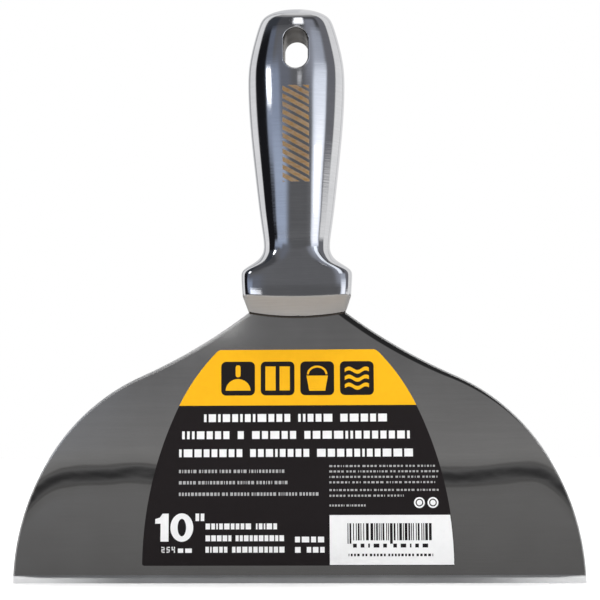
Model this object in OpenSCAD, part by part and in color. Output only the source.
// Stainless joint knife for drywall. One steel sheet is the blade and the full tang, and a hollow handle
// half is welded to each side of the tang. The knife stands on its working edge: X runs along the edge,
// Z points from the edge up to the handle, and the labelled front faces -Y.

/* [Blade] */
// Length of the working edge
edge_length = 254; // [252:1:256]
// Thickness of the blade's stiff back and of the tang
blade_thickness = 1.2; // [1:0.1:1.5]
// Height above the edge at which the taper grind on the rear face begins
grind_height = 72; // [60:1:80]
// Blade thickness where the taper grind meets the edge bevels
ground_thickness = 0.7; // [0.6:0.05:0.9]
// Height of the bevels along the working edge
bevel_height = 3.5; // [2:0.5:5]
// Thickness of the working edge itself
edge_thickness = 0.4; // [0.3:0.05:0.5]

/* [Blade outline] */
// Radius of the outline beside the working edge
side_radius = 107; // [105:1:110]
// Turn of the outline from the edge to the end of the side radius, in degrees
side_turn = 34; // [32:1:36]
// Radius of the shoulders
shoulder_radius = 90; // [88:1:92]
// Turn of the outline from the edge to the end of the shoulder radius, in degrees
shoulder_turn = 66.1; // [65:0.1:67]
// Radius of the hollow sweep from the shoulders up to the collar
sweep_radius = 247; // [240:1:255]

/* [Handle] */
// Height of the collar's front lower edge above the working edge
collar_height = 127.4; // [126:0.2:129]
// Widest part of the grip
grip_width = 44.3; // [43:0.1:46]
// Thickest part of the grip
grip_thickness = 26.4; // [24:0.2:28]
// Wall of the hollow handle halves
shell_wall = 1.8; // [1.6:0.1:2.2]
// Height of the collar's lowest point above the working edge
collar_foot_height = 118.6; // [118:0.1:119.4]
// Rise of the sloping collar end from its foot to its front lower edge
collar_end_rise = 7.2; // [6:0.2:8]
// Radius of the bowed collar end
collar_bow_radius = 150; // [130:5:180]

/* [Welds] */
// Depth of the weld bead in the seam round the tang
seam_weld_depth = 1.4; // [1:0.1:1.8]
// Leg of the fillet weld at the collar
collar_weld_leg = 0.9; // [0.6:0.1:1.2]

/* [Hang hole] */
// Clear width of the hang hole
hang_hole_width = 11; // [10:0.5:12]
// Clear length of the hang hole
hang_hole_length = 19; // [17:0.5:20]
// Height of the middle of the hang hole above the working edge
hang_hole_height = 240; // [238:0.5:241]
// Wall of the sleeve that lines the hang hole
sleeve_wall = 0.9; // [0.7:0.1:1.2]

/* [Label] */
// Half the width of the label at its foot
label_half_width = 69.3; // [66:0.1:72]
// Height of the label's foot above the working edge
label_foot = 7.7; // [6:0.1:10]
// Height of the label
label_height = 95.8; // [90:0.1:97]
// Thickness of the label film
label_thickness = 0.15; // [0.1:0.05:0.2]

/* [Hidden] */

// Sections of the handle from the collar edge up to the butt. Each holds its height above the collar
// edge, its share of the grip's width and of its thickness, and how square it is (2 is an ellipse).
HANDLE_STATIONS = [
    [0.0, 1.102, 0.91, 6.0],
    [4.1, 1.115, 0.90, 6.0],
    [8.2, 1.126, 0.87, 5.6],
    [10.8, 1.117, 0.84, 5.0],
    [12.9, 1.030, 0.82, 4.2],
    [15.8, 0.844, 0.795, 3.2],
    [19.0, 0.718, 0.78, 2.7],
    [23.1, 0.677, 0.77, 2.4],
    [29.6, 0.706, 0.795, 2.3],
    [38.6, 0.763, 0.83, 2.2],
    [52.6, 0.837, 0.895, 2.1],
    [68.6, 0.916, 0.955, 2.05],
    [83.6, 0.975, 0.99, 2.0],
    [97.6, 1.000, 1.00, 2.0],
    [107.6, 0.975, 0.98, 2.1],
    [116.6, 0.894, 0.94, 2.15],
    [124.1, 0.800, 0.88, 2.2],
    [128.7, 0.710, 0.76, 2.2],
    [131.3, 0.560, 0.57, 2.2],
    [133.0, 0.345, 0.33, 2.1],
    [133.6, 0.110, 0.12, 2.0],
];
FIRST_HOLLOW_STATION = 2;      // the hollow starts at this station
LAST_HOLLOW_STATION = 16;      // and ends at this one
STEPS = 2;                     // sections drawn from one station to the next
HALF_SIDES = 20;               // sides of each half section
ARC_SIDES = 12;                // sides of each stretch of an outline
FOOT_DROP = 9.6;               // height of the tapered foot under the collar edge, before its end is cut
FOOT_SHARE = 0.945;            // share of the grip's width at the bottom of that foot
PAST = 1;                      // how far a cut runs past what it cuts
BODY_TOP = 125;                // the blade's own outline is drawn up to here, inside the tang

half_edge = edge_length / 2;
tang_face = blade_thickness / 2;
half_grip = grip_width / 2;
half_thick = grip_thickness / 2;
handle_top = collar_height + HANDLE_STATIONS[len(HANDLE_STATIONS) - 1][0];
sleeve_width = hang_hole_width + 2 * sleeve_wall;
sleeve_length = hang_hole_length + 2 * sleeve_wall;
collar_slope = collar_end_rise / (half_thick * HANDLE_STATIONS[0][2] - tang_face);
bow_axis_height = collar_foot_height + collar_bow_radius;
label_side_radius = 163.5;
label_shoulder_radius = 90;
label_side_turn = 25.7;

// Points of an arc, from one angle to another.
function arc(centre, radius, from, to) = [
    for (i = [0 : ARC_SIDES])
        let (a = from + (to - from) * i / ARC_SIDES)
            centre + radius * [cos(a), sin(a)]
];

// The other half of an outline, mirrored in X and in reverse order.
function mirrored(points) = [
    for (i = [len(points) - 1 : -1 : 0])
        [-points[i][0], points[i][1]]
];

// Catmull-Rom curve through the list at place u, where whole numbers are the list's own entries.
function curve_at(list, u) =
    let (last = len(list) - 1)
    let (i = min(floor(u), last - 1))
    let (f = u - i)
    let (a = list[max(i - 1, 0)])
    let (b = list[i])
    let (c = list[i + 1])
    let (d = list[min(i + 2, last)])
        b + 0.5 * f * ((c - a) + f * ((2 * a - 5 * b + 4 * c - d) + f * (3 * (b - c) + d - a)));

// A handle section as [height, half width, half thickness, squareness].
function section_at(u) =
    let (s = curve_at(HANDLE_STATIONS, u))
        [collar_height + s[0], half_grip * s[1], half_thick * s[2], s[3]];

// Points of half a rounded section at height z, from +X round to -X, bulging toward -Y from face.
function half_ring(z, half_width, half_depth, squareness, face) = [
    for (i = [0 : HALF_SIDES])
        let (t = 180 * i / HALF_SIDES)
        let (c = cos(t))
        let (s = sin(t))
        let (reach = pow(pow(abs(c), squareness) + pow(s, squareness), -1 / squareness))
            [half_width * c * reach, -face - (half_depth - face) * s * reach, z]
];

// Closed solid through rings of equally many points, listed from the lowest ring up.
module loft(rings) {
    n = len(rings[0]);
    top = (len(rings) - 1) * n;
    sides = [
        for (i = [0 : len(rings) - 2], j = [0 : n - 1])
            let (k = (j + 1) % n)
                each [
                    [i * n + j, (i + 1) * n + k, (i + 1) * n + j],
                    [i * n + j, i * n + k, (i + 1) * n + k],
                ]
    ];
    caps = [[for (j = [n - 1 : -1 : 0]) j], [for (j = [0 : n - 1]) top + j]];
    polyhedron(points = [for (r = rings) each r], faces = concat(sides, caps));
}

// Outer form of the front half of the handle, before the collar's end is cut.
module handle_half() {
    foot = half_ring(collar_height - FOOT_DROP, half_grip * FOOT_SHARE,
                     half_thick * HANDLE_STATIONS[0][2], HANDLE_STATIONS[0][3], tang_face);
    rings = [
        for (i = [0 : STEPS * (len(HANDLE_STATIONS) - 1)])
            let (s = section_at(i / STEPS))
                half_ring(s[0], s[1], s[2], s[3], tang_face)
    ];
    loft(concat([foot], rings));
}

// The hollow inside one handle half, open toward the tang.
module handle_hollow() {
    loft([
        for (i = [STEPS * FIRST_HOLLOW_STATION : STEPS * LAST_HOLLOW_STATION])
            let (s = section_at(i / STEPS))
                half_ring(s[0], s[1] - shell_wall, s[2] - shell_wall, s[3], tang_face - PAST)
    ]);
}

// Round body whose cone is the bowed and sloping end face of the front collar.
module collar_end() {
    depth = half_thick + PAST;
    radius_at = collar_bow_radius - collar_slope * (depth - tang_face);
    translate([0, -tang_face, bow_axis_height])
        rotate([90, 0, 0])
            cylinder(h = depth - tang_face, r1 = collar_bow_radius, r2 = radius_at, $fn = 720);
}

// Straight-sided bar with round ends, standing along Z and running through the handle along Y.
module slot_bar(width, length, depth) {
    rotate([90, 0, 0])
        for (end = [-1, 1])
            translate([0, end * (length - width) / 2, -depth / 2])
                cylinder(h = depth, d = width, $fn = 96);
    cube([width, depth, length - width], center = true);
}

module at_hang_hole() {
    translate([0, 0, hang_hole_height])
        children();
}

module handle_shell() {
    intersection() {
        difference() {
            handle_half();
            handle_hollow();
            at_hang_hole()
                slot_bar(sleeve_width, sleeve_length, grip_thickness + 2 * PAST);
        }
        collar_end();
    }
}

// Right side of the handle's outline at the tang, from the foot up to the butt.
function handle_side() = concat(
    [[half_grip * FOOT_SHARE, collar_height - FOOT_DROP]],
    [
        for (i = [0 : STEPS * (len(HANDLE_STATIONS) - 1)])
            let (s = section_at(i / STEPS))
                [s[1], s[0]]
    ]
);

// A right-hand side moved inward by a distance, square to its own run.
function inset(side, distance) = [
    for (i = [0 : len(side) - 1])
        let (run = side[min(i + 1, len(side) - 1)] - side[max(i - 1, 0)])
            side[i] + distance * [-run[1], run[0]] / norm(run)
];

module tang_outline() {
    side = inset(handle_side(), seam_weld_depth);
    polygon(concat(side, mirrored(side)));
}

// The blade itself: side radius, shoulder radius and hollow sweep, each running smoothly into the next.
module body_outline() {
    side_centre = [half_edge - side_radius, 0];
    shoulder_centre = side_centre
        + (side_radius - shoulder_radius) * [cos(side_turn), sin(side_turn)];
    sweep_centre = shoulder_centre
        + (shoulder_radius + sweep_radius) * [cos(shoulder_turn), sin(shoulder_turn)];
    sweep_end = 180 + asin((sweep_centre[1] - BODY_TOP) / sweep_radius);
    right = concat(
        arc(side_centre, side_radius, 0, side_turn),
        arc(shoulder_centre, shoulder_radius, side_turn, shoulder_turn),
        arc(sweep_centre, sweep_radius, 180 + shoulder_turn, sweep_end)
    );
    polygon(concat(right, mirrored(right)));
}

// Stands an XY outline up in the XZ plane, with its thickness centred on Y.
module upright(thickness) {
    rotate([90, 0, 0])
        linear_extrude(thickness, center = true)
            children();
}

// Side view of the sheet: flat front, taper-ground rear, and a small bevel on both faces at the edge.
module sheet_profile() {
    bevel = (ground_thickness - edge_thickness) / 2;
    rotate([90, 0, 90])
        linear_extrude(edge_length + 2 * PAST, center = true)
            polygon([
                [-tang_face + bevel, 0],
                [-tang_face + bevel + edge_thickness, 0],
                [-tang_face + ground_thickness, bevel_height],
                [tang_face, grind_height],
                [tang_face, handle_top],
                [-tang_face, handle_top],
                [-tang_face, bevel_height],
            ]);
}

module blade() {
    color("dimgray")
        difference() {
            intersection() {
                upright(blade_thickness + PAST)
                    union() {
                        body_outline();
                        tang_outline();
                    }
                sheet_profile();
            }
            at_hang_hole()
                slot_bar(sleeve_width, sleeve_length, blade_thickness + PAST);
        }
}

module front_handle_shell() {
    color("silver")
        handle_shell();
}

module rear_handle_shell() {
    color("silver")
        mirror([0, 1, 0])
            handle_shell();
}

module tang_seam_weld() {
    color("gainsboro")
        upright(blade_thickness)
            difference() {
                polygon(concat(handle_side(), mirrored(handle_side())));
                tang_outline();
                body_outline();
                square([edge_length, 2 * (collar_foot_height + PAST)], center = true);
            }
}

module hang_hole_sleeve() {
    color("darkgray")
        intersection() {
            at_hang_hole()
                difference() {
                    slot_bar(sleeve_width, sleeve_length, grip_thickness);
                    slot_bar(hang_hole_width, hang_hole_length, grip_thickness + PAST);
                }
            union() {
                handle_half();
                mirror([0, 1, 0])
                    handle_half();
                upright(blade_thickness)
                    tang_outline();
            }
        }
}

// Fillet bead in the corner between the blade and the collar's end face.
module collar_weld() {
    sweep = 2 * asin((half_grip * FOOT_SHARE - PAST) / collar_bow_radius);
    translate([0, -tang_face, bow_axis_height])
        rotate([90, 0, 0])
            rotate([0, 0, -90 - sweep / 2])
                rotate_extrude(angle = sweep, $fn = 720)
                    polygon([
                        [collar_bow_radius, 0],
                        [collar_bow_radius + collar_weld_leg, 0],
                        [collar_bow_radius - collar_slope * collar_weld_leg, collar_weld_leg],
                    ]);
}

module front_collar_weld() {
    color("gray")
        collar_weld();
}

module rear_collar_weld() {
    color("gray")
        mirror([0, 1, 0])
            collar_weld();
}

module label_outline() {
    side_centre = [label_half_width - label_side_radius, label_foot];
    shoulder_centre = side_centre
        + (label_side_radius - label_shoulder_radius) * [cos(label_side_turn), sin(label_side_turn)];
    top_turn = asin((label_foot + label_height - shoulder_centre[1]) / label_shoulder_radius);
    right = concat(
        arc(side_centre, label_side_radius, 0, label_side_turn),
        arc(shoulder_centre, label_shoulder_radius, label_side_turn, top_turn)
    );
    polygon(concat(right, mirrored(right)));
}

module label() {
    color("gold")
        translate([0, -tang_face - label_thickness / 2, 0])
            upright(label_thickness)
                label_outline();
}

blade();
front_handle_shell();
rear_handle_shell();
tang_seam_weld();
hang_hole_sleeve();
front_collar_weld();
rear_collar_weld();
label();
